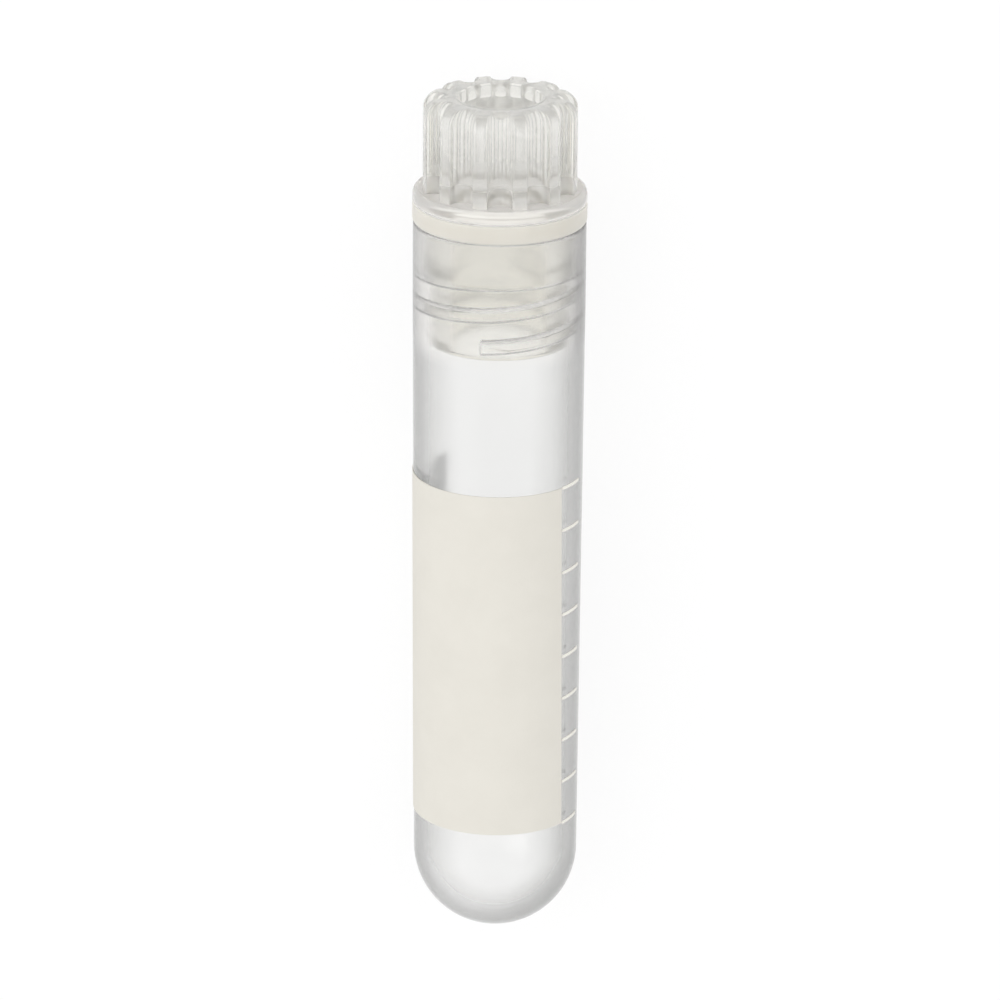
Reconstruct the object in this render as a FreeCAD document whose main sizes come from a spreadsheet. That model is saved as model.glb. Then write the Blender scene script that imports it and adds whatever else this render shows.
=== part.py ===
import FreeCAD, Part
import math
import os
import Sketcher

# Cryovial: a round-bottomed tube closed by a fluted screw cap whose plug threads into the neck,
# over a seal washer, with a printed writing patch and volume marks on the wall.
# Each piece is built upright, its axis on Z and the lowest point of the round bottom at zero. Its
# Placement then lays it on its side as it rests on a table: cap towards +Y, patch uppermost.

DIMENSIONS = {
    # tube
    "tube_length": 54.2,
    "rim_radius": 6.2,
    "rim_rounding": 0.25,
    "neck_height": 5.5,
    "base_radius": 5.96,
    "cavity_radius": 4.98,
    "cavity_base_radius": 4.92,
    "floor_thickness": 1.3,
    # knob and flange of the screw cap
    "knob_radius": 5.6,
    "knob_height": 6.75,
    "knob_rounding": 1.1,
    "flute_count": 12,
    "flute_radius": 0.9,
    "flute_depth": 1.1,
    "recess_radius": 3.0,
    "recess_depth": 1.0,
    "flange_radius": 6.25,
    "flange_thickness": 0.95,
    "flange_rounding": 0.45,
    # hollow plug of the screw cap
    "shank_radius": 5.35,
    "shank_depth": 3.4,
    "plug_root_radius": 4.85,
    "plug_depth": 9.0,
    "plug_chamfer": 0.35,
    "core_radius": 3.4,
    "core_roof": 1.0,
    # thread ridge on the plug
    "thread_pitch": 2.4,
    "thread_turns": 1.5,
    "thread_start_depth": 7.9,
    "thread_start_angle": 259.0,
    "thread_crest_width": 0.5,
    "thread_root_width": 1.1,
    "thread_overlap": 0.1,
    # matching groove and fits in the neck
    "groove_run_in": 8.0,
    "groove_turns": 2.25,
    "crest_clearance": 0.1,
    "flank_clearance": 0.12,
    "shank_clearance": 0.1,
    "shoulder_clearance": 0.2,
    # seal washer
    "washer_thickness": 1.5,
    "washer_clearance": 0.05,
    "washer_rounding": 0.2,
    # print on the wall
    "ink_thickness": 0.05,
    "patch_top_depth": 18.95,
    "patch_height": 26.2,
    "patch_angle": 180.0,
    "patch_start_angle": 140.0,
    "mark_count": 9,
    "mark_inset": 0.05,
    "mark_width": 0.22,
    "mark_angle": 21.0,
    "mark_start_angle": 321.5,
}

FULL_TURN = "360"
QUARTER_TURN_BACK = -90
FIRST_ANGLE = 1  # a rotation of zero has no axis, so each is made with this one and then bound

# Heights and radii that several pieces share, as expressions of the sheet.
RIM = "Size.tube_length"
WASHER_TOP = f"{RIM} + Size.washer_thickness"
FLANGE_TOP = f"{WASHER_TOP} + Size.flange_thickness"
KNOB_TOP = f"{FLANGE_TOP} + Size.knob_height"
PLUG_END = f"{RIM} - Size.plug_depth"
NECK_END = f"{RIM} - Size.neck_height"
NECK_BORE = "Size.shank_radius + Size.shank_clearance"
PATCH_TOP = f"{RIM} - Size.patch_top_depth"
# The marks run down beside the patch, from just under its top edge to its bottom edge.
MARK_SPACING = "((Size.patch_height - Size.mark_inset) / (Size.mark_count - 1))"

doc = FreeCAD.newDocument("Cryovial")
sheet = doc.addObject("Spreadsheet::Sheet", "Size")
for row, (alias, value) in enumerate(DIMENSIONS.items(), start=1):
    sheet.set(f"A{row}", alias.replace("_", " "))
    sheet.set(f"B{row}", str(value))
    sheet.setAlias(f"B{row}", alias)
doc.recompute()


def wall_radius(height):
    """Outer radius of the drafted wall at a height."""
    draft = f"(Size.rim_radius - Size.base_radius) / ({NECK_END} - Size.base_radius)"
    return f"Size.base_radius + ({height} - Size.base_radius) * {draft}"


def bind(feature, sizes):
    for name, size in sizes.items():
        feature.setExpression(name, size)


def lay_down(piece):
    """Turn the upright piece onto its side, the flange's edge touching the ground plane."""
    piece.Placement.Rotation = FreeCAD.Rotation(FreeCAD.Vector(1, 0, 0), QUARTER_TURN_BACK)
    bind(piece, {
        "Placement.Base.y": f"-({KNOB_TOP}) / 2",
        "Placement.Base.z": "Size.flange_radius",
    })


def new_body(name):
    body = doc.addObject("PartDesign::Body", name)
    body.Label = name
    return body


def new_sketch(body, name, plane):
    sketch = body.newObject("Sketcher::SketchObject", name)
    planes = [item for item in body.Origin.OriginFeatures if item.Role == plane]
    sketch.AttachmentSupport = [(planes[0], "")]
    sketch.MapMode = "FlatFace"
    return sketch


def evaluate(sketch, size):
    return float(sketch.evalExpression(size))


def arc_between(start, end, radius):
    """Arc that runs counter-clockwise from start to end, its centre on the left of the chord."""
    chord = end - start
    left = FreeCAD.Vector(-chord.y, chord.x, 0).normalize()
    rise = math.sqrt(max(radius**2 - (chord.Length / 2) ** 2, 0))
    centre = (start + end) / 2 + left * rise
    first, last = [math.atan2(p.y - centre.y, p.x - centre.x) for p in (start, end)]
    return Part.ArcOfCircle(Part.Circle(centre, FreeCAD.Vector(0, 0, 1), radius), first, last)


def fix_corner(sketch, edge, end, corner):
    """Hold the end of an edge at its two distances from the sketch's origin."""
    x_size, y_size = corner
    for direction, axis, size in (("DistanceX", -2, x_size), ("DistanceY", -1, y_size)):
        distance = evaluate(sketch, size)
        if distance == 0:
            sketch.addConstraint(Sketcher.Constraint("PointOnObject", edge, end, axis))
            continue
        between = (-1, 1, edge, end)
        if distance < 0:
            between = (edge, end, -1, 1)
            size = f"-({size})"
        rule = Sketcher.Constraint(direction, *between, abs(distance))
        sketch.setExpression(f"Constraints[{sketch.addConstraint(rule)}]", size)


def draw_outline(sketch, corners, bulges=None, hollows=None):
    """Closed outline, drawn counter-clockwise through the corners.

    bulges and hollows give the radius of the edge that follows a corner, where it is an arc
    that bows out of the outline or into it. All other edges are straight.
    """
    bulges = bulges or {}
    hollows = hollows or {}
    start_of, end_of = 1, 2
    points = [FreeCAD.Vector(*(evaluate(sketch, size) for size in corner)) for corner in corners]
    for index, start in enumerate(points):
        end = points[(index + 1) % len(points)]
        if index in bulges:
            edge = arc_between(start, end, evaluate(sketch, bulges[index]))
        elif index in hollows:
            edge = arc_between(end, start, evaluate(sketch, hollows[index]))
        else:
            edge = Part.LineSegment(start, end)
        sketch.addGeometry(edge)
    for index, corner in enumerate(corners):
        before = (index - 1) % len(corners)
        near = end_of if index in hollows else start_of
        far = start_of if before in hollows else end_of
        sketch.addConstraint(Sketcher.Constraint("Coincident", before, far, index, near))
        fix_corner(sketch, index, near, corner)
    for index, size in {**bulges, **hollows}.items():
        rule = Sketcher.Constraint("Radius", index, evaluate(sketch, size))
        sketch.setExpression(f"Constraints[{sketch.addConstraint(rule)}]", size)


def revolve(body, name, corners, bulges=None, hollows=None):
    """Turned solid from an outline in the half-plane beside the axis."""
    sketch = new_sketch(body, f"{name}_outline", "XZ_Plane")
    draw_outline(sketch, corners, bulges, hollows)
    solid = body.newObject("PartDesign::Revolution", name)
    solid.Profile = sketch
    solid.ReferenceAxis = (sketch, ["V_Axis"])
    bind(solid, {"Angle": FULL_TURN})


def wind_thread(body, kind, name, section, angle, turns):
    """Helix of a four-cornered section, which starts at an angle round the axis."""
    sketch = new_sketch(body, f"{name}_section", "XZ_Plane")
    draw_outline(sketch, section)
    sketch.AttachmentOffset = FreeCAD.Placement(
        FreeCAD.Vector(), FreeCAD.Rotation(FreeCAD.Vector(0, 1, 0), FIRST_ANGLE)
    )
    bind(sketch, {"AttachmentOffset.Rotation.Angle": angle})
    thread = body.newObject(kind, name)
    thread.Profile = sketch
    thread.ReferenceAxis = (sketch, ["V_Axis"])
    thread.Mode = "pitch-turns-angle"
    bind(thread, {"Pitch": "Size.thread_pitch", "Turns": turns})


def thread_section(inner, outer, height, widening):
    """Trapezoid across the thread between two radii, wider on each flank by the widening."""
    root = f"(Size.thread_root_width / 2 + {widening})"
    crest = f"(Size.thread_crest_width / 2 + {widening})"
    return [
        (inner, f"{height} - {root}"),
        (outer, f"{height} - {crest}"),
        (outer, f"{height} + {crest}"),
        (inner, f"{height} + {root}"),
    ]


def make_vial_tube():
    """Drafted tube with a round bottom and a threaded neck."""
    body = new_body("vial_tube")
    bore_end = f"{RIM} - Size.shank_depth - Size.shoulder_clearance"
    revolve(
        body,
        "tube_wall",
        [
            ("0", "0"),
            ("Size.base_radius", "Size.base_radius"),
            ("Size.rim_radius", NECK_END),
            ("Size.rim_radius", f"{RIM} - Size.rim_rounding"),
            ("Size.rim_radius - Size.rim_rounding", RIM),
            (NECK_BORE, RIM),
            (NECK_BORE, bore_end),
            ("Size.cavity_radius", bore_end),
            ("Size.cavity_base_radius", "Size.floor_thickness + Size.cavity_base_radius"),
            ("0", "Size.floor_thickness"),
        ],
        bulges={0: "Size.base_radius", 3: "Size.rim_rounding"},
        hollows={8: "Size.cavity_base_radius"},
    )
    # The groove starts a little before the ridge does, and runs out into the plain bore above.
    lead = f"Size.thread_pitch * Size.groove_run_in / {FULL_TURN}"
    start = f"{RIM} - Size.thread_start_depth - {lead}"
    groove = thread_section(
        "Size.plug_root_radius",
        "Size.shank_radius + Size.crest_clearance",
        start,
        "Size.flank_clearance",
    )
    wind_thread(
        body,
        "PartDesign::SubtractiveHelix",
        "thread_groove",
        groove,
        "Size.thread_start_angle - Size.groove_run_in",
        "Size.groove_turns",
    )
    return body


def make_screw_cap():
    """Fluted knob, flange and hollow threaded plug, moulded as one piece."""
    body = new_body("screw_cap")
    shank_end = f"{RIM} - Size.shank_depth"
    core_top = f"{FLANGE_TOP} - Size.core_roof"
    knob_edge = "Size.knob_radius - Size.knob_rounding"
    flange_edge = "Size.flange_radius - Size.flange_rounding"
    revolve(
        body,
        "cap_blank",
        [
            ("Size.core_radius", PLUG_END),
            ("Size.plug_root_radius - Size.plug_chamfer", PLUG_END),
            ("Size.plug_root_radius", f"{PLUG_END} + Size.plug_chamfer"),
            ("Size.plug_root_radius", shank_end),
            ("Size.shank_radius", shank_end),
            ("Size.shank_radius", WASHER_TOP),
            ("Size.flange_radius", WASHER_TOP),
            ("Size.flange_radius", f"{FLANGE_TOP} - Size.flange_rounding"),
            (flange_edge, FLANGE_TOP),
            ("Size.knob_radius", FLANGE_TOP),
            ("Size.knob_radius", f"{KNOB_TOP} - Size.knob_rounding"),
            (knob_edge, KNOB_TOP),
            ("Size.recess_radius", KNOB_TOP),
            ("Size.recess_radius", f"{KNOB_TOP} - Size.recess_depth"),
            ("0", f"{KNOB_TOP} - Size.recess_depth"),
            ("0", core_top),
            ("Size.core_radius", core_top),
        ],
        bulges={7: "Size.flange_rounding", 10: "Size.knob_rounding"},
    )
    cut_flutes(body)
    ridge = thread_section(
        "Size.plug_root_radius - Size.thread_overlap",
        "Size.shank_radius",
        f"{RIM} - Size.thread_start_depth",
        "0",
    )
    wind_thread(
        body,
        "PartDesign::AdditiveHelix",
        "thread_ridge",
        ridge,
        "Size.thread_start_angle",
        "Size.thread_turns",
    )
    return body


def cut_flutes(body):
    """Ring of round-bottomed flutes down the knob's side, open at its top."""
    sketch = new_sketch(body, "flute_outline", "XY_Plane")
    bind(sketch, {"AttachmentOffset.Base.z": KNOB_TOP})
    centre = "Size.knob_radius - Size.flute_depth + Size.flute_radius"
    corners = [
        (centre, "-Size.flute_radius"),
        ("Size.flange_radius", "-Size.flute_radius"),
        ("Size.flange_radius", "Size.flute_radius"),
        (centre, "Size.flute_radius"),
        ("Size.knob_radius - Size.flute_depth", "0"),
    ]
    draw_outline(sketch, corners, bulges={3: "Size.flute_radius", 4: "Size.flute_radius"})
    flute = body.newObject("PartDesign::Pocket", "flute")
    flute.Profile = sketch
    bind(flute, {"Length": "Size.knob_height"})
    flutes = body.newObject("PartDesign::PolarPattern", "flutes")
    flutes.Originals = [flute]
    flutes.Axis = (sketch, ["N_Axis"])
    bind(flutes, {"Angle": FULL_TURN, "Occurrences": "Size.flute_count"})
    body.Tip = flutes


def make_seal_washer():
    """Soft ring clamped between the flange and the tube's rim."""
    body = new_body("seal_washer")
    inner = "Size.shank_radius + Size.washer_clearance"
    edge = "Size.flange_radius - Size.washer_rounding"
    revolve(
        body,
        "washer_ring",
        [
            (inner, RIM),
            (edge, RIM),
            ("Size.flange_radius", f"{RIM} + Size.washer_rounding"),
            ("Size.flange_radius", f"{WASHER_TOP} - Size.washer_rounding"),
            (edge, WASHER_TOP),
            (inner, WASHER_TOP),
        ],
        bulges={1: "Size.washer_rounding", 3: "Size.washer_rounding"},
    )
    return body


def wall_sector(name, bottom, height, ink, start, angle):
    """Slice of a solid cone that follows the wall, larger than it by the ink's thickness."""
    cone = doc.addObject("Part::Cone", name)
    cone.Placement.Rotation = FreeCAD.Rotation(FreeCAD.Vector(0, 0, 1), FIRST_ANGLE)
    bind(cone, {
        "Radius1": f"{wall_radius(bottom)} + {ink}",
        "Radius2": f"{wall_radius(f'({bottom} + {height})')} + {ink}",
        "Height": height,
        "Angle": angle,
        "Placement.Base.z": bottom,
        "Placement.Rotation.Angle": start,
    })
    return cone


def make_marking_patch():
    """Printed writing area, a thin skin round half of the wall."""
    bottom = f"{PATCH_TOP} - Size.patch_height"
    place = ("Size.patch_start_angle", "Size.patch_angle")
    height = "Size.patch_height"
    patch = doc.addObject("Part::Cut", "marking_patch")
    patch.Base = wall_sector("patch_ink", bottom, height, "Size.ink_thickness", *place)
    patch.Tool = wall_sector("patch_wall", bottom, height, "0", "0", FULL_TURN)
    return patch


def make_graduation_marks():
    """Column of short printed lines beside the patch, one for each step of volume."""
    top = f"{PATCH_TOP} - Size.mark_inset - Size.mark_width / 2"
    place = ("Size.mark_start_angle", "Size.mark_angle")
    marks = doc.addObject("Part::Compound", "mark_column")
    marks.Links = [
        wall_sector(
            f"mark_{step}",
            f"({top} - {step} * {MARK_SPACING})",
            "Size.mark_width",
            "Size.ink_thickness",
            *place,
        )
        for step in range(int(sheet.mark_count))
    ]
    drop = "Size.patch_height - Size.mark_inset"
    column = doc.addObject("Part::Cut", "graduation_marks")
    column.Base = marks
    column.Tool = wall_sector(
        "mark_wall", f"({top} - ({drop}))", f"({drop} + Size.mark_width)", "0", "0", FULL_TURN
    )
    return column


pieces = [
    make_vial_tube(),
    make_screw_cap(),
    make_seal_washer(),
    make_marking_patch(),
    make_graduation_marks(),
]
for piece in pieces:
    piece.Label = piece.Name
    lay_down(piece)
doc.recompute()

for item in doc.Objects:
    if {"Invalid", "Error"} & set(item.State):
        raise RuntimeError(f"{item.Name} failed: {item.State}")
for piece in pieces:
    if piece.Shape.isNull() or not piece.Shape.isValid():
        raise RuntimeError(f"{piece.Label} has no valid shape")

os.makedirs("parts", exist_ok=True)
for piece in pieces:
    piece.Shape.exportStep(f"parts/{piece.Label}.step")
    box = piece.Shape.BoundBox
    print(piece.Label, round(piece.Shape.Volume, 2), len(piece.Shape.Solids), box)
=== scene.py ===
import math

import bmesh
import bpy
from mathutils import Matrix, Vector


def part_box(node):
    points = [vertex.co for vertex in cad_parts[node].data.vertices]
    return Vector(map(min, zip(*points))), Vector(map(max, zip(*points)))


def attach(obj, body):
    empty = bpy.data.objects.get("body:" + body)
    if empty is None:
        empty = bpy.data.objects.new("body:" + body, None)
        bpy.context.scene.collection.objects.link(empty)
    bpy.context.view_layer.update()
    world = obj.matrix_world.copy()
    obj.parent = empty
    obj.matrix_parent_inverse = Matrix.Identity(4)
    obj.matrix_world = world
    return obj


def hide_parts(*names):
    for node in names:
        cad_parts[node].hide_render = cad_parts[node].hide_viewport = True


# Cryovial lying on a white table: clear tube, fluted screw cap, milky washer, printed patch and marks
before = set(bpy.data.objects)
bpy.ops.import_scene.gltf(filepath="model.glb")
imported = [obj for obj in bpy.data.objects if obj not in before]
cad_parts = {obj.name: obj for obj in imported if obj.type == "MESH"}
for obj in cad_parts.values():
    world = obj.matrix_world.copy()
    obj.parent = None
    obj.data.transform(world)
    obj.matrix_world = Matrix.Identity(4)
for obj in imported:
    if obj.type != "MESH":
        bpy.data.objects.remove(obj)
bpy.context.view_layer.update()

mm = 0.001
tubeLow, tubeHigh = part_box("vial_tube")
capLow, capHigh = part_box("screw_cap")
washerLow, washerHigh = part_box("seal_washer")
patchLow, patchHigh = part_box("marking_patch")
marksLow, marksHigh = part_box("graduation_marks")

axisHeight = (washerLow.z + washerHigh.z) / 2  # the vial's axis runs along Y at this height
bottomAlong = tubeLow.y
rimAlong = tubeHigh.y
washerTop = washerHigh.y
knobTop = capHigh.y
plugEnd = capLow.y


def deselectAll():
    if bpy.context.mode != "OBJECT":
        bpy.ops.object.mode_set(mode="OBJECT")
    bpy.ops.object.select_all(action="DESELECT")


def pickOnly(piece):
    deselectAll()
    piece.select_set(True)
    bpy.context.view_layer.objects.active = piece


def editAll(piece):
    pickOnly(piece)
    bpy.ops.object.mode_set(mode="EDIT")
    bpy.ops.mesh.select_mode(type="VERT")
    bpy.ops.mesh.select_all(action="SELECT")


def nameBoth(piece, name):
    piece.name = name
    piece.data.name = name


def joinAll(pieces, name):
    deselectAll()
    for piece in pieces:
        piece.select_set(True)
    bpy.context.view_layer.objects.active = pieces[0]
    bpy.ops.object.join()
    nameBoth(pieces[0], name)
    return pieces[0]


def arc(centreRadius, centreAlong, size, fromDegrees, toDegrees, steps):
    # points of a rounding, as (radius, along); 0 degrees looks away from the axis, 90 towards the cap
    points = []
    for step in range(steps + 1):
        turn = math.radians(fromDegrees + (toDegrees - fromDegrees) * step / steps)
        points.append((centreRadius + size * math.cos(turn), centreAlong + size * math.sin(turn)))
    return points


def straight(start, end, longest):
    # points after start up to end, no further apart than longest, for an even mesh
    count = max(1, math.ceil(math.dist(start, end) / longest))
    return [tuple(a + (b - a) * n / count for a, b in zip(start, end)) for n in range(1, count + 1)]


def startRing(name, radius, along, sides):
    deselectAll()
    bpy.ops.mesh.primitive_circle_add(
        vertices=sides, radius=radius, location=(0, along, axisHeight), rotation=(math.radians(90), 0, 0))
    ring = bpy.context.object
    nameBoth(ring, name)
    bpy.ops.object.transform_apply(location=True, rotation=True, scale=True)
    editAll(ring)
    return ring


def startPoint(name, place):
    # a piece of one vertex, to be drawn out by extruding
    deselectAll()
    bpy.ops.mesh.primitive_plane_add(size=1 * mm, location=place)
    point = bpy.context.object
    nameBoth(point, name)
    bpy.ops.object.transform_apply(location=True, rotation=True, scale=True)
    editAll(point)
    bpy.ops.mesh.merge(type="CENTER")
    return point


def extrudeBy(offset):
    bpy.ops.mesh.extrude_region_move(TRANSFORM_OT_translate={"value": offset})


def nextRing(last, new):
    extrudeBy((0, new[1] - last[1], 0))
    grow = new[0] / last[0]
    bpy.ops.transform.resize(value=(grow, 1, grow), center_override=(0, new[1], axisHeight))


def closePole(fromAlong, toAlong):
    extrudeBy((0, toAlong - fromAlong, 0))
    bpy.ops.mesh.merge(type="CENTER")


def pickOpenEdges():
    bpy.ops.mesh.select_all(action="DESELECT")
    bpy.ops.mesh.select_non_manifold()


def lathe(name, outline, sides, startPole=None, endPole=None):
    # rings extruded one after another along an outline of (radius, along)
    piece = startRing(name, outline[0][0], outline[0][1], sides)
    for last, new in zip(outline, outline[1:]):
        nextRing(last, new)
    if endPole is not None:
        closePole(outline[-1][1], endPole)
    if startPole is not None:
        pickOpenEdges()
        closePole(outline[0][1], startPole)
    if startPole is None and endPole is None:
        pickOpenEdges()
        bpy.ops.mesh.bridge_edge_loops()
    return piece


def tidyShell(piece, smoothDegrees=35):
    editAll(piece)
    bpy.ops.mesh.remove_doubles(threshold=0.002 * mm)
    bpy.ops.mesh.normals_make_consistent(inside=False)
    bpy.ops.object.mode_set(mode="OBJECT")
    bpy.ops.object.shade_smooth_by_angle(angle=math.radians(smoothDegrees))


def combine(piece, tool, operation):
    pickOnly(piece)
    bpy.ops.object.modifier_add(type="BOOLEAN")
    cut = piece.modifiers[-1]
    cut.operation = operation
    cut.solver = "EXACT"
    cut.object = tool
    bpy.ops.object.modifier_apply(modifier=cut.name)
    bpy.data.objects.remove(tool)


# thread: the ridge on the plug, and the groove that it runs in
threadShape = {
    "pitch": 2.4 * mm,
    "rootRadius": 4.75 * mm,     # a little under the plug's surface
    "crestRadius": 5.35 * mm,
    "rootWidth": 1.18 * mm,
    "crestWidth": 0.46 * mm,
    "startDepth": 7.9 * mm,      # below the rim, at the middle of the ridge's lower end
    "startDegrees": 259,         # round the axis from +X, over the top at 270 seen from the bottom
    "turns": 1.5,
    "stepsPerTurn": 96,
    "leadSteps": 5,              # the ridge grows from a small tip over these steps at each end
    "tipSize": 0.25,
    "crestPlay": 0.1 * mm,       # what the groove is deeper
    "flankPlay": 0.24 * mm,      # what it is wider, both flanks together
    "grooveRunIn": 3,            # degrees that it starts before the ridge
    "grooveTurns": 2.25,
    "smoothDegrees": 30,
}


def windThread(name, outer, play, startAlong, startDegrees, turns, leadSteps):
    # a strip with a trapezoid section, extruded round the axis while it climbs
    shape = threadShape
    inner = shape["rootRadius"]
    innerHalf = (shape["rootWidth"] + play) / 2
    outerHalf = (shape["crestWidth"] + play) / 2
    turn = math.radians(startDegrees)
    outwards = Vector((math.cos(turn), 0, -math.sin(turn)))
    centre = Vector((0, startAlong, axisHeight))
    deselectAll()
    bpy.ops.mesh.primitive_plane_add(size=1, location=(0, 0, 0))
    strip = bpy.context.object
    strip.name = name
    corners = [
        centre + outwards * inner - Vector((0, innerHalf, 0)),
        centre + outwards * outer - Vector((0, outerHalf, 0)),
        centre + outwards * inner + Vector((0, innerHalf, 0)),
        centre + outwards * outer + Vector((0, outerHalf, 0)),
    ]
    for vertex, corner in zip(strip.data.vertices, corners):
        vertex.co = corner
    editAll(strip)
    size = 1.0
    if leadSteps:
        size = shape["tipSize"]
        bpy.ops.transform.resize(value=(size, size, size), center_override=centre + outwards * inner)
    steps = round(turns * shape["stepsPerTurn"])
    climb = shape["pitch"] / shape["stepsPerTurn"]
    stepAngle = 2 * math.pi / shape["stepsPerTurn"]
    for step in range(1, steps + 1):
        along = startAlong + climb * step
        extrudeBy((0, climb, 0))
        bpy.ops.transform.rotate(
            value=-stepAngle, orient_axis="Y", orient_type="GLOBAL",
            center_override=(0, along, axisHeight))
        if leadSteps:
            ease = min(step, steps - step, leadSteps) / leadSteps
            wanted = shape["tipSize"] + (1 - shape["tipSize"]) * ease
            now = turn + stepAngle * step
            root = Vector((math.cos(now) * inner, along, axisHeight - math.sin(now) * inner))
            grow = wanted / size
            bpy.ops.transform.resize(value=(grow, grow, grow), center_override=root)
            size = wanted
    bpy.ops.mesh.select_all(action="SELECT")
    bpy.ops.mesh.normals_make_consistent(inside=False)
    bpy.ops.object.mode_set(mode="OBJECT")
    return strip


tubeShape = {
    "sides": 192,
    "rimRadius": 6.2 * mm,
    "rimRounding": 0.25 * mm,
    "neckHeight": 5.5 * mm,
    "baseRadius": 5.96 * mm,
    "boreRadius": 5.45 * mm,
    "boreDepth": 3.6 * mm,
    "cavityRadius": 4.98 * mm,
    "cavityBaseRadius": 4.92 * mm,
    "floorThickness": 1.3 * mm,
    "shoulderRounding": 0.12 * mm,
    "grooveDepth": 9.5 * mm,     # below the rim; the rings lie closer together down to here
    "wallStep": 1.5 * mm,        # between rings
    "neckStep": 1.0 * mm,
    "grooveStep": 0.4 * mm,
    "domeSteps": 30,
    "domeDegrees": 88,           # the last ring before a pole
}


def makeTube():
    shape = tubeShape
    base = bottomAlong + shape["baseRadius"]
    neckEnd = rimAlong - shape["neckHeight"]
    rim = shape["rimRounding"]
    dome, domeSteps = shape["domeDegrees"], shape["domeSteps"]
    outline = arc(0, base, shape["baseRadius"], -dome, 0, domeSteps)
    outline += straight(outline[-1], (shape["rimRadius"], neckEnd), shape["wallStep"])
    outline += straight(outline[-1], (shape["rimRadius"], rimAlong - rim), shape["neckStep"])
    outline += arc(shape["rimRadius"] - rim, rimAlong - rim, rim, 0, 90, 6)[1:]
    bore = shape["boreRadius"]
    soft = shape["shoulderRounding"]
    outline += arc(bore + soft, rimAlong - soft, soft, 90, 180, 4)
    shoulder = rimAlong - shape["boreDepth"]
    outline += straight(outline[-1], (bore, shoulder + soft), shape["grooveStep"])
    outline += arc(bore - soft, shoulder + soft, soft, 0, -90, 4)[1:]
    cavity = shape["cavityRadius"]
    outline += arc(cavity + soft, shoulder - soft, soft, 90, 180, 4)
    outline += straight(outline[-1], (cavity, rimAlong - shape["grooveDepth"]), shape["grooveStep"])
    inside = bottomAlong + shape["floorThickness"] + shape["cavityBaseRadius"]
    outline += straight(outline[-1], (shape["cavityBaseRadius"], inside), shape["wallStep"])
    outline += arc(0, inside, shape["cavityBaseRadius"], 0, -dome, domeSteps)[1:]
    tube = lathe(
        "clearTube", outline, shape["sides"],
        startPole=bottomAlong, endPole=bottomAlong + shape["floorThickness"])
    tidyShell(tube)
    thread = threadShape
    runIn = thread["grooveRunIn"]
    groove = windThread(
        "threadGroove", thread["crestRadius"] + thread["crestPlay"], thread["flankPlay"],
        rimAlong - thread["startDepth"] - thread["pitch"] * runIn / 360,
        thread["startDegrees"] - runIn, thread["grooveTurns"], 0)
    combine(tube, groove, "DIFFERENCE")
    tidyShell(tube, thread["smoothDegrees"])
    return tube


clearTube = makeTube()
print("tube:", len(clearTube.data.polygons), "faces")


# screw cap: fluted knob, flange and hollow threaded plug
capShape = {
    "fluteCount": 12,
    "fluteRadius": 0.9 * mm,
    "fluteCentre": 5.4 * mm,      # from the axis, so that the flutes are 1.1 mm deep
    "fluteSteps": 8,
    "knobRadius": 5.6 * mm,
    "toothRounding": 0.22 * mm,
    "knobRounding": 1.1 * mm,
    "recessRadius": 3.0 * mm,
    "recessDepth": 1.0 * mm,
    "recessRounding": 0.15 * mm,
    "topLand": 0.25 * mm,
    "bridgeDrop": 0.05 * mm,      # rings that are bridged differ in height, so that the bridge can't twist
    "bridgeReach": 0.1 * mm,      # how near a level both rings lie
    "flangeRadius": 6.25 * mm,
    "flangeThickness": 0.95 * mm,
    "flangeRounding": 0.45 * mm,
    "flangeEdge": 0.05 * mm,
    "shankRadius": 5.35 * mm,
    "shankDepth": 3.4 * mm,
    "plugRadius": 4.85 * mm,
    "plugChamfer": 0.35 * mm,
    "plugRounding": 0.12 * mm,
    "coreRadius": 3.4 * mm,
    "coreRoof": 1.0 * mm,
    "coreRounding": 0.3 * mm,
    "poleRings": (2.0 * mm, 1.0 * mm),  # radii of the rings before a flat pole
    "shankStep": 0.5 * mm,        # between rings
    "plugStep": 0.4 * mm,
    "coreStep": 1.0 * mm,
}


def fluteOutline():
    # half a flute, half a tooth and back again, as points (x, z) about the axis
    shape = capShape
    points = []
    for step in range(shape["fluteSteps"] + 1):
        turn = math.radians(90 * step / shape["fluteSteps"])
        points.append((
            shape["fluteRadius"] * math.sin(turn),
            shape["fluteCentre"] - shape["fluteRadius"] * math.cos(turn)))
    corner = math.sqrt(shape["knobRadius"] ** 2 - shape["fluteRadius"] ** 2)
    points.append((shape["fluteRadius"], corner))
    cornerAt = [len(points) - 1]
    cornerAngle = math.atan2(shape["fluteRadius"], corner)
    middle = math.pi / shape["fluteCount"]
    for step in (1, 2):
        turn = cornerAngle + (middle - cornerAngle) * step / 2
        points.append((shape["knobRadius"] * math.sin(turn), shape["knobRadius"] * math.cos(turn)))
    half = list(points)
    for x, z in reversed(half[:-1]):  # the other half mirrors across the middle of the tooth
        angle = 2 * middle - math.atan2(x, z)
        reach = math.hypot(x, z)
        points.append((reach * math.sin(angle), reach * math.cos(angle)))
    cornerAt.append(len(points) - 1 - cornerAt[0])
    return points, cornerAt


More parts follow.
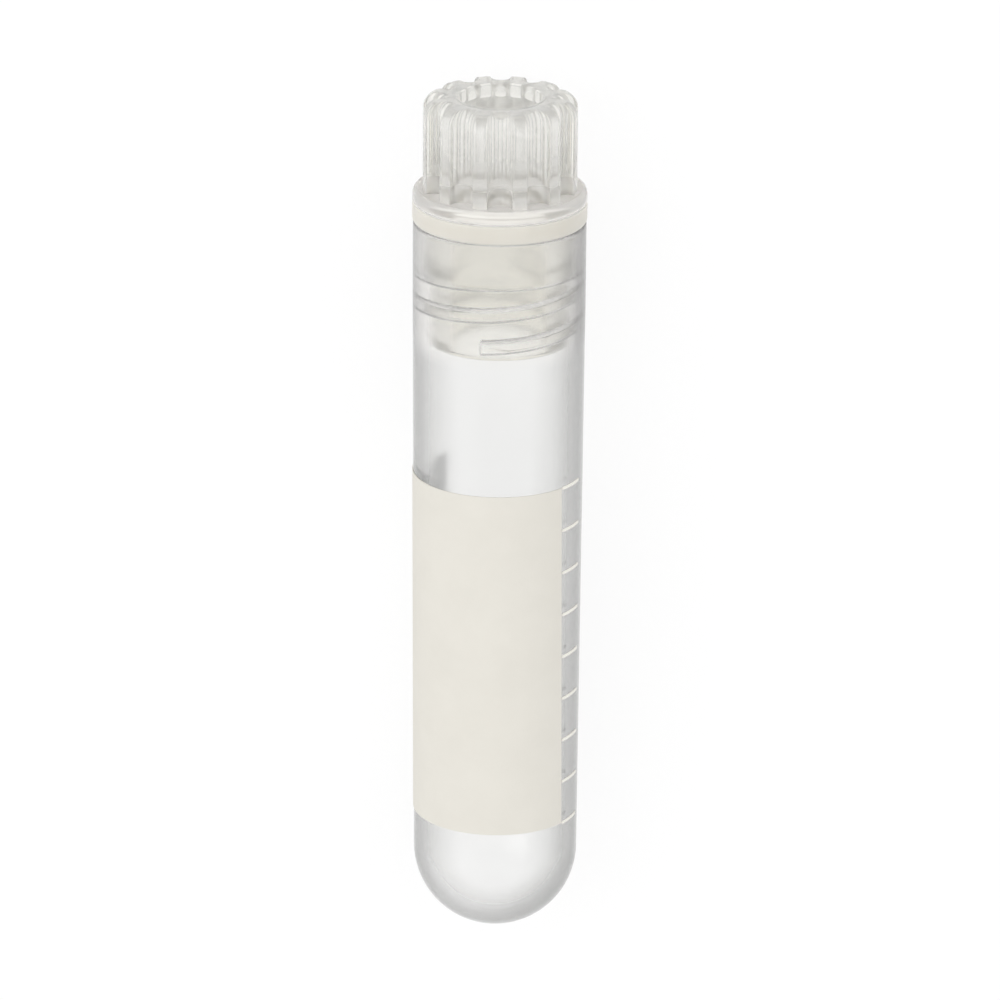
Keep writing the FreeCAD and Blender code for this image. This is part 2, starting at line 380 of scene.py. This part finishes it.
def makeKnob(flangeTop):
    # one flute and tooth drawn by extruding a point, then copied round the axis
    shape = capShape
    points, cornerAt = fluteOutline()
    knob = startPoint("screwCapClear", (points[0][0], flangeTop, axisHeight + points[0][1]))
    for last, new in zip(points, points[1:]):
        extrudeBy((new[0] - last[0], 0, new[1] - last[1]))
    bpy.ops.mesh.select_all(action="DESELECT")
    mesh = bmesh.from_edit_mesh(knob.data)
    for index in cornerAt:
        place = Vector((points[index][0], flangeTop, axisHeight + points[index][1]))
        nearest = min(mesh.verts, key=lambda v: (v.co - place).length)
        nearest.select_set(True)
    bmesh.update_edit_mesh(knob.data)
    bpy.ops.mesh.bevel(offset=shape["toothRounding"], segments=4, affect="VERTICES")
    bpy.ops.mesh.select_all(action="SELECT")
    bpy.ops.mesh.spin(
        steps=shape["fluteCount"], angle=2 * math.pi, dupli=True,
        center=(0, flangeTop, axisHeight), axis=(0, 1, 0))
    bpy.ops.mesh.select_all(action="SELECT")
    bpy.ops.mesh.remove_doubles(threshold=0.005 * mm)
    bpy.ops.mesh.select_all(action="SELECT")
    sides = len(bmesh.from_edit_mesh(knob.data).verts)
    # straight up, then drawn in to a rounded shoulder
    rounding = shape["knobRounding"]
    knobEdge = knobTop - rounding
    extrudeBy((0, knobEdge - flangeTop, 0))
    shoulder = arc(shape["knobRadius"] - rounding, knobEdge, rounding, 0, 90, 8)
    for last, new in zip(shoulder, shoulder[1:]):
        nextRing(last, new)
    bpy.ops.object.mode_set(mode="OBJECT")
    return knob, sides


def makeTurned(name, outline, sides):
    # rings along an outline that ends in a flat pole
    poleAlong = outline[-1][1]
    outline = outline + [(radius, poleAlong) for radius in capShape["poleRings"]]
    piece = lathe(name, outline, sides, endPole=poleAlong)
    bpy.ops.object.mode_set(mode="OBJECT")
    return piece


def makeWell(sides):
    # recess in the top of the knob
    shape = capShape
    radius, rounding = shape["recessRadius"], shape["recessRounding"]
    floor = knobTop - shape["recessDepth"]
    outline = [(radius + shape["topLand"], knobTop - shape["bridgeDrop"])]
    outline += arc(radius + rounding, knobTop - rounding, rounding, 80, 180, 4)
    outline += [(radius, floor + rounding)]
    outline += arc(radius - rounding, floor + rounding, rounding, 0, -90, 4)[1:]
    return makeTurned("recessWell", outline, sides)


def makePlug(flangeTop, sides):
    # flange, shank, plug and core below the knob
    shape = capShape
    flange, rounding = shape["flangeRadius"], shape["flangeRounding"]
    shank, plug, core = shape["shankRadius"], shape["plugRadius"], shape["coreRadius"]
    soft, chamfer, roofRounding = shape["plugRounding"], shape["plugChamfer"], shape["coreRounding"]
    shankEnd = rimAlong - shape["shankDepth"]
    coreTop = flangeTop - shape["coreRoof"]
    outline = [(flange - rounding, flangeTop - shape["bridgeDrop"])]
    outline += arc(flange - rounding, flangeTop - rounding, rounding, 75, 0, 5)
    outline += straight(outline[-1], (flange, washerTop + shape["flangeEdge"]), shape["shankStep"])
    outline += [(flange - shape["flangeEdge"], washerTop), (shank, washerTop)]
    outline += straight(outline[-1], (shank, shankEnd + soft), shape["shankStep"])
    outline += arc(shank - soft, shankEnd + soft, soft, 0, -90, 4)[1:]
    outline += [(plug, shankEnd)]
    outline += straight(outline[-1], (plug, plugEnd + chamfer), shape["plugStep"])
    outline += arc(plug - chamfer, plugEnd + chamfer, chamfer, 0, -90, 5)[1:]
    outline += arc(core + soft, plugEnd + soft, soft, -90, -180, 4)
    outline += straight(outline[-1], (core, coreTop - roofRounding), shape["coreStep"])
    outline += arc(core - roofRounding, coreTop - roofRounding, roofRounding, 0, 90, 4)[1:]
    return makeTurned("capPlug", outline, sides)


def bridgeAt(piece, level):
    # joins the two open rings that lie at a level
    editAll(piece)
    bpy.ops.mesh.select_mode(type="EDGE")
    bpy.ops.mesh.select_all(action="DESELECT")
    mesh = bmesh.from_edit_mesh(piece.data)
    for edge in mesh.edges:
        edge.select_set(edge.is_boundary and abs(edge.verts[0].co.y - level) < capShape["bridgeReach"])
    bmesh.update_edit_mesh(piece.data)
    bpy.ops.mesh.bridge_edge_loops()
    bpy.ops.object.mode_set(mode="OBJECT")


def makeCap():
    flangeTop = washerTop + capShape["flangeThickness"]
    knob, sides = makeKnob(flangeTop)
    well = makeWell(sides)
    plug = makePlug(flangeTop, sides)
    cap = joinAll((knob, well, plug), "screwCapClear")
    bridgeAt(cap, flangeTop)
    bridgeAt(cap, knobTop)
    tidyShell(cap)
    thread = threadShape
    ridge = windThread(
        "threadRidge", thread["crestRadius"], 0, rimAlong - thread["startDepth"],
        thread["startDegrees"], thread["turns"], thread["leadSteps"])
    combine(cap, ridge, "UNION")
    tidyShell(cap, thread["smoothDegrees"])
    return cap


screwCap = makeCap()
print("cap:", len(screwCap.data.polygons), "faces")


washerShape = {
    "sides": 192,
    "innerRadius": 5.4 * mm,
    "outerRadius": 6.25 * mm,
    "rounding": 0.2 * mm,         # outside; half of it inside
    "gap": 0.012 * mm,            # a hairline of air over each flat face
}


def makeWasher():
    shape = washerShape
    soft = shape["rounding"]
    small = soft / 2
    outer, inner = shape["outerRadius"], shape["innerRadius"]
    low, high = rimAlong + shape["gap"], washerTop - shape["gap"]
    outline = arc(outer - soft, low + soft, soft, -90, 0, 5)
    outline += arc(outer - soft, high - soft, soft, 0, 90, 5)
    outline += arc(inner + small, high - small, small, 90, 180, 4)
    outline += arc(inner + small, low + small, small, 180, 270, 4)
    washer = lathe("sealRing", outline, shape["sides"])
    tidyShell(washer)
    return washer


sealRing = makeWasher()
print("washer:", len(sealRing.data.polygons), "faces")


# printed patch and marks
printShape = {
    "inkThickness": 0.05 * mm,
    "inkSink": 0.015 * mm,       # how far the ink is keyed into the wall
    "patchFromDegrees": 140,     # round the axis from +X, over the top of the lying vial at 270
    "patchToDegrees": 320,
    "patchSteps": 120,
    "patchRows": 20,
    "footLean": 3.0,             # the print is turned a little, most at its lower end
    "lean": 5.0,                 # and leans back by this much on its way up
    "markCount": 9,
    "markFromDegrees": 320.7,
    "markToDegrees": 342.5,
    "markSteps": 14,
    "markWidth": 0.22 * mm,
    "markCorner": 0.08 * mm,
    "smoothDegrees": 35,
}


def wallRadius(along):
    shape = tubeShape
    low = bottomAlong + shape["baseRadius"]
    high = rimAlong - shape["neckHeight"]
    share = (along - low) / (high - low)
    return shape["baseRadius"] + share * (shape["rimRadius"] - shape["baseRadius"])


def wallPoint(degrees, along, lift):
    turn = math.radians(degrees)
    reach = wallRadius(along) + lift
    return Vector((reach * math.cos(turn), along, axisHeight - reach * math.sin(turn)))


def faceOutwards(strip):
    bpy.ops.mesh.select_all(action="SELECT")
    bpy.ops.mesh.normals_make_consistent(inside=False)
    bpy.ops.object.mode_set(mode="OBJECT")
    faces = strip.data.polygons
    middle = faces[len(faces) // 2]
    fromAxis = Vector((middle.center.x, 0, middle.center.z - axisHeight))
    if middle.normal.dot(fromAxis) < 0:
        editAll(strip)
        bpy.ops.mesh.flip_normals()
        bpy.ops.object.mode_set(mode="OBJECT")


def wallStrip(name, fromDegrees, toDegrees, steps, low, high, rows, corner=0, lean=0):
    # a strip of the wall: a point extruded round the wall, then up it, its corners rounded, then thickened
    shape = printShape
    lift = shape["inkThickness"]
    last = wallPoint(fromDegrees, low, lift)
    strip = startPoint(name, last)
    for step in range(1, steps + 1):
        new = wallPoint(fromDegrees + (toDegrees - fromDegrees) * step / steps, low, lift)
        extrudeBy(new - last)
        last = new
    bpy.ops.mesh.select_all(action="SELECT")
    along = low
    for row in range(1, rows + 1):
        level = low + (high - low) * row / rows
        nextRing((wallRadius(along) + lift, along), (wallRadius(level) + lift, level))
        if lean:
            bpy.ops.transform.rotate(
                value=math.radians(lean / rows), orient_axis="Y", orient_type="GLOBAL",
                center_override=(0, level, axisHeight))
        along = level
    if corner:
        bpy.ops.mesh.select_all(action="DESELECT")
        mesh = bmesh.from_edit_mesh(strip.data)
        for vertex in mesh.verts:
            if len(vertex.link_edges) == 2:
                vertex.select_set(True)
        bmesh.update_edit_mesh(strip.data)
        bpy.ops.mesh.bevel(offset=corner, segments=3, affect="VERTICES")
    faceOutwards(strip)
    pickOnly(strip)
    bpy.ops.object.modifier_add(type="SOLIDIFY")
    skin = strip.modifiers[-1]
    skin.thickness = shape["inkThickness"] + shape["inkSink"]
    skin.offset = -1
    bpy.ops.object.modifier_apply(modifier=skin.name)
    bpy.ops.object.shade_smooth_by_angle(angle=math.radians(shape["smoothDegrees"]))
    return strip


def makePatch():
    shape = printShape
    return wallStrip(
        "writingPatch", shape["patchFromDegrees"] + shape["footLean"],
        shape["patchToDegrees"] + shape["footLean"], shape["patchSteps"],
        patchLow.y, patchHigh.y, shape["patchRows"], lean=shape["lean"])


def makeMarks():
    shape = printShape
    width = shape["markWidth"]
    gaps = shape["markCount"] - 1
    spacing = (marksHigh.y - marksLow.y - width) / gaps
    marks = []
    for index in range(shape["markCount"]):
        low = marksLow.y + spacing * index
        turned = shape["footLean"] - shape["lean"] * index / gaps
        marks.append(wallStrip(
            f"mark{index}", shape["markFromDegrees"] + turned, shape["markToDegrees"] + turned,
            shape["markSteps"], low, low + width, 1, shape["markCorner"]))
    return joinAll(marks, "volumeMarks")


writingPatch = makePatch()
volumeMarks = makeMarks()
print("print:", len(writingPatch.data.polygons) + len(volumeMarks.data.polygons), "faces")


def newMaterial(name):
    material = bpy.data.materials.new(name)
    material.use_nodes = True
    nodes = material.node_tree.nodes
    return material, nodes, material.node_tree.links, nodes["Principled BSDF"]


def addPlace(nodes, links, kind="Object"):
    # X, Y and Z of an object's coordinates or normals
    place = nodes.new("ShaderNodeTexCoord")
    split = nodes.new("ShaderNodeSeparateXYZ")
    links.new(place.outputs[kind], split.inputs[0])
    return split.outputs


def addNoise(nodes, links, scale, detail, roughness=0.5):
    place = nodes.new("ShaderNodeTexCoord")
    noise = nodes.new("ShaderNodeTexNoise")
    noise.inputs["Scale"].default_value = scale
    noise.inputs["Detail"].default_value = detail
    noise.inputs["Roughness"].default_value = roughness
    links.new(place.outputs["Object"], noise.inputs["Vector"])
    return noise.outputs["Fac"]


def addRange(nodes, links, source, fromRange=(0, 1), toRange=(0, 1)):
    spread = nodes.new("ShaderNodeMapRange")
    spread.inputs["From Min"].default_value, spread.inputs["From Max"].default_value = fromRange
    spread.inputs["To Min"].default_value, spread.inputs["To Max"].default_value = toRange
    links.new(source, spread.inputs["Value"])
    return spread.outputs["Result"]


def addRamp(nodes, links, source, colours):
    ramp = nodes.new("ShaderNodeValToRGB")
    while len(ramp.color_ramp.elements) < len(colours):
        ramp.color_ramp.elements.new(0.5)
    for element, (position, colour) in zip(ramp.color_ramp.elements, colours):
        element.position = position
        element.color = (*colour, 1)
    links.new(source, ramp.inputs["Fac"])
    return ramp.outputs["Color"]


def addBump(nodes, links, shader, height, strength):
    bump = nodes.new("ShaderNodeBump")
    bump.inputs["Strength"].default_value = strength
    bump.inputs["Distance"].default_value = 0.02 * mm
    links.new(height, bump.inputs["Height"])
    links.new(bump.outputs["Normal"], shader.inputs["Normal"])


def connect(links, socket, value):
    if hasattr(value, "is_output"):
        links.new(value, socket)
    else:
        socket.default_value = value


def addMath(nodes, links, operation, *values):
    step = nodes.new("ShaderNodeMath")
    step.operation = operation
    for socket, value in zip(step.inputs, values):
        connect(links, socket, value)
    return step.outputs["Value"]


def addVectorMath(nodes, links, operation, *values):
    step = nodes.new("ShaderNodeVectorMath")
    step.operation = operation
    for socket, value in zip(step.inputs, values):
        connect(links, socket, value)
    return step.outputs["Value" if operation in ("LENGTH", "DOT_PRODUCT") else "Vector"]


def addMixColour(nodes, links, factor, first, second):
    mix = nodes.new("ShaderNodeMix")
    mix.data_type = "RGBA"
    links.new(factor, mix.inputs["Factor"])
    for name, value in (("A", first), ("B", second)):
        socket = [s for s in mix.inputs if s.name == name and s.type == "RGBA"][0]
        connect(links, socket, (*value, 1) if isinstance(value, tuple) else value)
    return [s for s in mix.outputs if s.type == "RGBA"][0]


clearLook = {
    "paintedEdgeShade": [             # painted shade, by how squarely the outside is seen: 0 is straight on; darker along the wall, in place of dark surroundings
        (0.0, (0.99, 0.99, 0.985)), (0.15, (0.96, 0.96, 0.955)), (0.32, (0.71, 0.71, 0.70)),
        (0.5, (0.41, 0.41, 0.40)), (0.7, (0.30, 0.30, 0.29)), (1.0, (0.25, 0.25, 0.24))],
    # the neck: a faint cream tint straight on, and painted shade where it is seen along the wall
    "paintedNeckShade": [
        (0.0, (1.0, 0.99, 0.965)), (0.32, (0.97, 0.955, 0.925)), (0.5, (0.69, 0.68, 0.66)),
        (0.7, (0.31, 0.305, 0.30)), (1.0, (0.16, 0.16, 0.155))],
    "lean": 0.035 / (6 * mm),    # how much deeper the painted shade gets towards the marks' side, away from the lamp
    "neckLean": 0.12 / (6 * mm),
    # the painted shade on the marks' side deepens further on the round bottom
    "bottomLean": 0.1 / (6 * mm) / (4 * mm),
    "insideColour": (0.995, 0.995, 0.99),
    "outsideFrom": 5.72 * mm,    # from the axis: further out is the outside
    "roughness": (0.05, 0.10),
    "insideRoughness": 0.22,
    "neckRoughness": 0.17,       # moulded threads are less polished than the wall
    "neckFrom": (12.9 * mm, 14.4 * mm),
    "ior": 1.49,
    "mottle": 300,
    "bump": 0.15,
}


def makeClearPlastic(name):
    # clear plastic with painted shade on its outside: darker where it is seen along the wall, and towards
    # the marks' side
    look = clearLook
    material, nodes, links, shader = newMaterial(name)
    shader.inputs["IOR"].default_value = look["ior"]
    shader.inputs["Transmission Weight"].default_value = 1
    place = addPlace(nodes, links)
    below = addMath(nodes, links, "SUBTRACT", place["Y"], bottomAlong + tubeShape["baseRadius"])
    below = addMath(nodes, links, "MINIMUM", below, 0.0)
    fromAxis = nodes.new("ShaderNodeCombineXYZ")  # or from the middle of the round bottom
    links.new(place["X"], fromAxis.inputs["X"])
    links.new(below, fromAxis.inputs["Y"])
    links.new(addMath(nodes, links, "SUBTRACT", place["Z"], axisHeight), fromAxis.inputs["Z"])
    reach = addVectorMath(nodes, links, "LENGTH", fromAxis.outputs[0])
    outside = addMath(nodes, links, "GREATER_THAN", reach, look["outsideFrom"])
    inNeck = addRange(nodes, links, place["Y"], look["neckFrom"])
    # Layer Weight's facing drives the painted shade
    facing = nodes.new("ShaderNodeLayerWeight")
    facing.inputs["Blend"].default_value = 0.5
    paintedShades = []
    for lean, shadeStops in ((look["lean"], look["paintedEdgeShade"]), (look["neckLean"], look["paintedNeckShade"])):
        bottomLean = addMath(nodes, links, "MULTIPLY", below, look["bottomLean"])
        lean = addMath(nodes, links, "SUBTRACT", lean, bottomLean)
        shift = addMath(nodes, links, "MULTIPLY", place["X"], lean)
        depth = addMath(nodes, links, "ADD", facing.outputs["Facing"], shift)
        paintedShades.append(addRamp(nodes, links, depth, shadeStops))
    skin = addMixColour(nodes, links, inNeck, *paintedShades)
    links.new(addMixColour(nodes, links, outside, look["insideColour"], skin), shader.inputs["Base Color"])
    noise = addNoise(nodes, links, look["mottle"], 3)
    plain = addRange(nodes, links, noise, toRange=look["roughness"])
    inside = addMath(nodes, links, "SUBTRACT", 1.0, outside)
    inner = addMath(nodes, links, "MULTIPLY", inside, look["insideRoughness"])
    neck = addMath(nodes, links, "MULTIPLY", inNeck, look["neckRoughness"])
    rough = addMath(nodes, links, "MAXIMUM", plain, addMath(nodes, links, "MAXIMUM", inner, neck))
    links.new(rough, shader.inputs["Roughness"])
    addBump(nodes, links, shader, noise, look["bump"])
    return material


capLook = {
    "transmission": [            # along the cap: clear plug, milky flange and foot, clear knob, milky top
        (washerTop - 0.3 * mm, 1.0), (washerTop + 0.1 * mm, 0.6), (washerTop + 0.9 * mm, 0.6),
        (washerTop + 1.3 * mm, 0.62), (washerTop + 3.6 * mm, 0.9), (knobTop - 1.7 * mm, 0.9),
        (knobTop - 1.0 * mm, 0.74)],
    "colours": [
        (washerTop - 0.3 * mm, (1.0, 0.993, 0.96)), (washerTop + 0.1 * mm, (0.995, 0.97, 0.935)),
        (washerTop + 0.9 * mm, (0.995, 0.97, 0.935)), (washerTop + 1.6 * mm, (1.0, 0.993, 0.96))],
    "roughness": (0.1, 0.16),
    "plugRoughness": 0.15,
    "ior": 1.49,
    "mottle": 500,
    "bump": 0.15,
    "milkColour": (1.0, 1.0, 0.995),
    "milkDensity": 50,
    "milkForward": 0.75,         # it spreads light a little without turning it back
}


def makeCapPlastic(name):
    # clear plastic with a little milk in it
    look = capLook
    material, nodes, links, shader = newMaterial(name)
    shader.inputs["IOR"].default_value = look["ior"]
    place = addPlace(nodes, links)
    rise = addRange(nodes, links, place["Y"], (plugEnd, knobTop))
    length = knobTop - plugEnd
    clearness = [((along - plugEnd) / length, (amount,) * 3) for along, amount in look["transmission"]]
    links.new(addRamp(nodes, links, rise, clearness), shader.inputs["Transmission Weight"])
    colours = [((along - plugEnd) / length, colour) for along, colour in look["colours"]]
    links.new(addRamp(nodes, links, rise, colours), shader.inputs["Base Color"])
    noise = addNoise(nodes, links, look["mottle"], 3)
    plain = addRange(nodes, links, noise, toRange=look["roughness"])
    onPlug = addMath(nodes, links, "LESS_THAN", place["Y"], washerTop)
    plugRough = addMath(nodes, links, "MULTIPLY", onPlug, look["plugRoughness"])
    links.new(addMath(nodes, links, "MAXIMUM", plain, plugRough), shader.inputs["Roughness"])
    addBump(nodes, links, shader, noise, look["bump"])
    milk = nodes.new("ShaderNodeVolumeScatter")
    milk.inputs["Color"].default_value = (*look["milkColour"], 1)
    milk.inputs["Density"].default_value = look["milkDensity"]
    milk.inputs["Anisotropy"].default_value = look["milkForward"]
    links.new(milk.outputs["Volume"], nodes["Material Output"].inputs["Volume"])
    return material


sealLook = {
    "colours": [(0.3, (0.71, 0.685, 0.62)), (0.7, (0.74, 0.715, 0.655))],
    "roughness": (0.35, 0.5),
    "mottle": 400,
    "grain": 3000,
    "paintedLightEndColour": (0.96, 0.955, 0.93),      # painted light: the flat faces made near white, to lift the shade seen through the flange
    "endFrom": 0.7,                        # how far along the axis a face has to point
    "glow": 0.8,
    "glowScale": 0.8 * mm,
}
patchLook = {
    "colours": [(0.35, (0.745, 0.72, 0.655)), (0.65, (0.765, 0.74, 0.675))],
    "roughness": (0.55, 0.7),
    "mottle": 350,
    "grain": 5000,
    "paintedLightUnderColour": (0.95, 0.95, 0.945),    # painted light: the underside made near white, to lift the shade seen through the wall
    "glow": 1.0,
    "glowScale": 0.3 * mm,
}
markLook = {
    "colours": [(0.3, (0.88, 0.86, 0.79)), (0.7, (0.92, 0.90, 0.83))],
    "roughness": (0.5, 0.65),
    "mottle": 900,
    "grain": 5000,
    # painted light on the marks' underside, as on the patch
    "paintedLightUnderColour": (0.95, 0.95, 0.945),
    "glow": 1.0,
    "glowScale": 0.3 * mm,
}


def onFlatFace(nodes, links, look):
    # 1 where a face points along the axis
    normal = addPlace(nodes, links, "Normal")
    upright = addMath(nodes, links, "ABSOLUTE", normal["Y"])
    return addMath(nodes, links, "GREATER_THAN", upright, look["endFrom"])


def onUnderside(nodes, links):
    # 1 where a face looks back at the axis
    place = nodes.new("ShaderNodeTexCoord")
    fromAxis = addVectorMath(nodes, links, "SUBTRACT", place.outputs["Object"], (0, 0, axisHeight))
    outwards = addVectorMath(nodes, links, "MULTIPLY", fromAxis, (1, 0, 1))
    turned = addVectorMath(nodes, links, "DOT_PRODUCT", outwards, place.outputs["Normal"])
    return addMath(nodes, links, "LESS_THAN", turned, 0.0)


def makeMatt(name, look):
    # matt rubber or ink, translucent; the rubber glows all through, the ink only underneath
    material, nodes, links, shader = newMaterial(name)
    noise = addNoise(nodes, links, look["mottle"], 4, 0.6)
    colour = addRamp(nodes, links, noise, look["colours"])
    if "paintedLightUnderColour" in look:
        # painted light: undersides near white, to lift the shade seen through the wall
        under = onUnderside(nodes, links)
        colour = addMixColour(nodes, links, under, colour, look["paintedLightUnderColour"])
        links.new(addMath(nodes, links, "MULTIPLY", under, look["glow"]), shader.inputs["Subsurface Weight"])
    else:
        # painted light: the rubber's flat faces near white, its sides cream
        colour = addMixColour(nodes, links, onFlatFace(nodes, links, look), colour, look["paintedLightEndColour"])
        shader.inputs["Subsurface Weight"].default_value = look["glow"]
    shader.inputs["Subsurface Radius"].default_value = (1, 1, 1)
    shader.inputs["Subsurface Scale"].default_value = look["glowScale"]
    links.new(colour, shader.inputs["Base Color"])
    links.new(addRange(nodes, links, noise, toRange=look["roughness"]), shader.inputs["Roughness"])
    addBump(nodes, links, shader, addNoise(nodes, links, look["grain"], 2), 0.3)
    return material


def dress(piece, material, node, body):
    piece.data.materials.clear()
    piece.data.materials.append(material)
    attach(piece, body)
    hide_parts(node)


dress(clearTube, makeClearPlastic("clearPlastic"), "vial_tube", "vial")
dress(screwCap, makeCapPlastic("capPlastic"), "screw_cap", "cap")
dress(sealRing, makeMatt("sealRubber", sealLook), "seal_washer", "seal")
dress(writingPatch, makeMatt("patchInk", patchLook), "marking_patch", "vial")
dress(volumeMarks, makeMatt("markInk", markLook), "graduation_marks", "vial")
print("materials: clear plastic, cap plastic, rubber and two inks")


stageLook = {
    "floorSize": 1.6,
    "floorBounce": 0.85,            # what the table throws back as light
    "floorShade": 0.12,             # how much of its shade shows
    "floorGlow": 0.89,
    "skyStrength": 0.935,
    "skyLean": (0.07, 0.22, 0.0),   # stronger from the marks' side and from beyond the cap
    "lampPower": 1.0,
    "lampSize": 0.5,
    "lampPlace": (-0.45, 0.15, 0.55),
}


def makeFloor():
    # it looks white, but throws back plain light and keeps the vial's shadow
    look = stageLook
    deselectAll()
    bpy.ops.mesh.primitive_plane_add(size=look["floorSize"], location=(0, 0, 0))
    floor = bpy.context.object
    floor.name = "tableTop"
    material = bpy.data.materials.new("tableWhite")
    material.use_nodes = True
    nodes, links = material.node_tree.nodes, material.node_tree.links
    nodes.clear()
    path = nodes.new("ShaderNodeLightPath").outputs
    seen = addMath(nodes, links, "MAXIMUM", path["Is Camera Ray"], path["Is Glossy Ray"])
    seen = addMath(nodes, links, "MAXIMUM", seen, path["Is Transmission Ray"])
    bounce = nodes.new("ShaderNodeBsdfDiffuse")
    bounce.inputs["Color"].default_value = (look["floorBounce"],) * 3 + (1,)
    shade = nodes.new("ShaderNodeBsdfDiffuse")
    shade.inputs["Color"].default_value = (look["floorShade"],) * 3 + (1,)
    glow = nodes.new("ShaderNodeEmission")
    glow.inputs["Strength"].default_value = look["floorGlow"]
    both = nodes.new("ShaderNodeAddShader")
    links.new(shade.outputs[0], both.inputs[0])
    links.new(glow.outputs[0], both.inputs[1])
    choose = nodes.new("ShaderNodeMixShader")
    links.new(seen, choose.inputs[0])
    links.new(bounce.outputs[0], choose.inputs[1])
    links.new(both.outputs[0], choose.inputs[2])
    output = nodes.new("ShaderNodeOutputMaterial")
    links.new(choose.outputs[0], output.inputs["Surface"])
    floor.data.materials.append(material)


def makeLight():
    # soft even daylight and one large lamp on the left
    look = stageLook
    world = bpy.data.worlds.new("softRoom")
    bpy.context.scene.world = world
    world.use_nodes = True
    nodes, links = world.node_tree.nodes, world.node_tree.links
    sky = nodes["Background"]
    sky.inputs["Color"].default_value = (1, 1, 1, 1)
    direction = nodes.new("ShaderNodeTexCoord").outputs["Generated"]
    lean = addVectorMath(nodes, links, "DOT_PRODUCT", direction, look["skyLean"])
    links.new(addMath(nodes, links, "ADD", lean, look["skyStrength"]), sky.inputs["Strength"])
    bpy.ops.object.light_add(type="AREA", location=look["lampPlace"])
    lamp = bpy.context.object
    lamp.data.shape = "SQUARE"
    lamp.data.size = look["lampSize"]
    lamp.data.energy = look["lampPower"]
    aim = Vector((0, 0, axisHeight)) - Vector(look["lampPlace"])
    lamp.rotation_euler = aim.to_track_quat("-Z", "Y").to_euler()


viewShape = {
    "elevationDegrees": 20.527,   # up from straight over the patch, towards the cap
    "distance": 0.6,
    "rollDegrees": 0.43,
    "lens": 298.6956,
    "sensor": 36,
    "shift": (0.00247, 0.01397),
    "clip": (0.01, 10),
}


def makeCamera():
    view = viewShape
    tilt = math.radians(view["elevationDegrees"])
    roll = math.radians(view["rollDegrees"])
    target = Vector((0, 0, axisHeight))
    towards = Vector((0, math.sin(tilt), math.cos(tilt)))
    right = Vector((1, 0, 0))
    up = towards.cross(right)
    rightRolled = right * math.cos(roll) + up * math.sin(roll)
    upRolled = up * math.cos(roll) - right * math.sin(roll)
    camera = bpy.data.cameras.new("mainCamera")
    camera.sensor_width = view["sensor"]
    camera.lens = view["lens"]
    camera.shift_x, camera.shift_y = view["shift"]
    camera.clip_start, camera.clip_end = view["clip"]
    holder = bpy.data.objects.new("mainCamera", camera)
    bpy.context.scene.collection.objects.link(holder)
    turn = Matrix((rightRolled, upRolled, towards)).transposed().to_4x4()
    holder.matrix_world = Matrix.Translation(target + towards * view["distance"]) @ turn
    bpy.context.scene.camera = holder


makeFloor()
makeLight()
makeCamera()

# light has to pass many clear walls, and to scatter in the cap's milk
scene = bpy.context.scene
scene.view_settings.view_transform = "Standard"
scene.cycles.max_bounces = 32
scene.cycles.transmission_bounces = 32
scene.cycles.volume_bounces = 12
scene.cycles.diffuse_bounces = 12
scene.cycles.glossy_bounces = 12
print("stage, light and camera set")
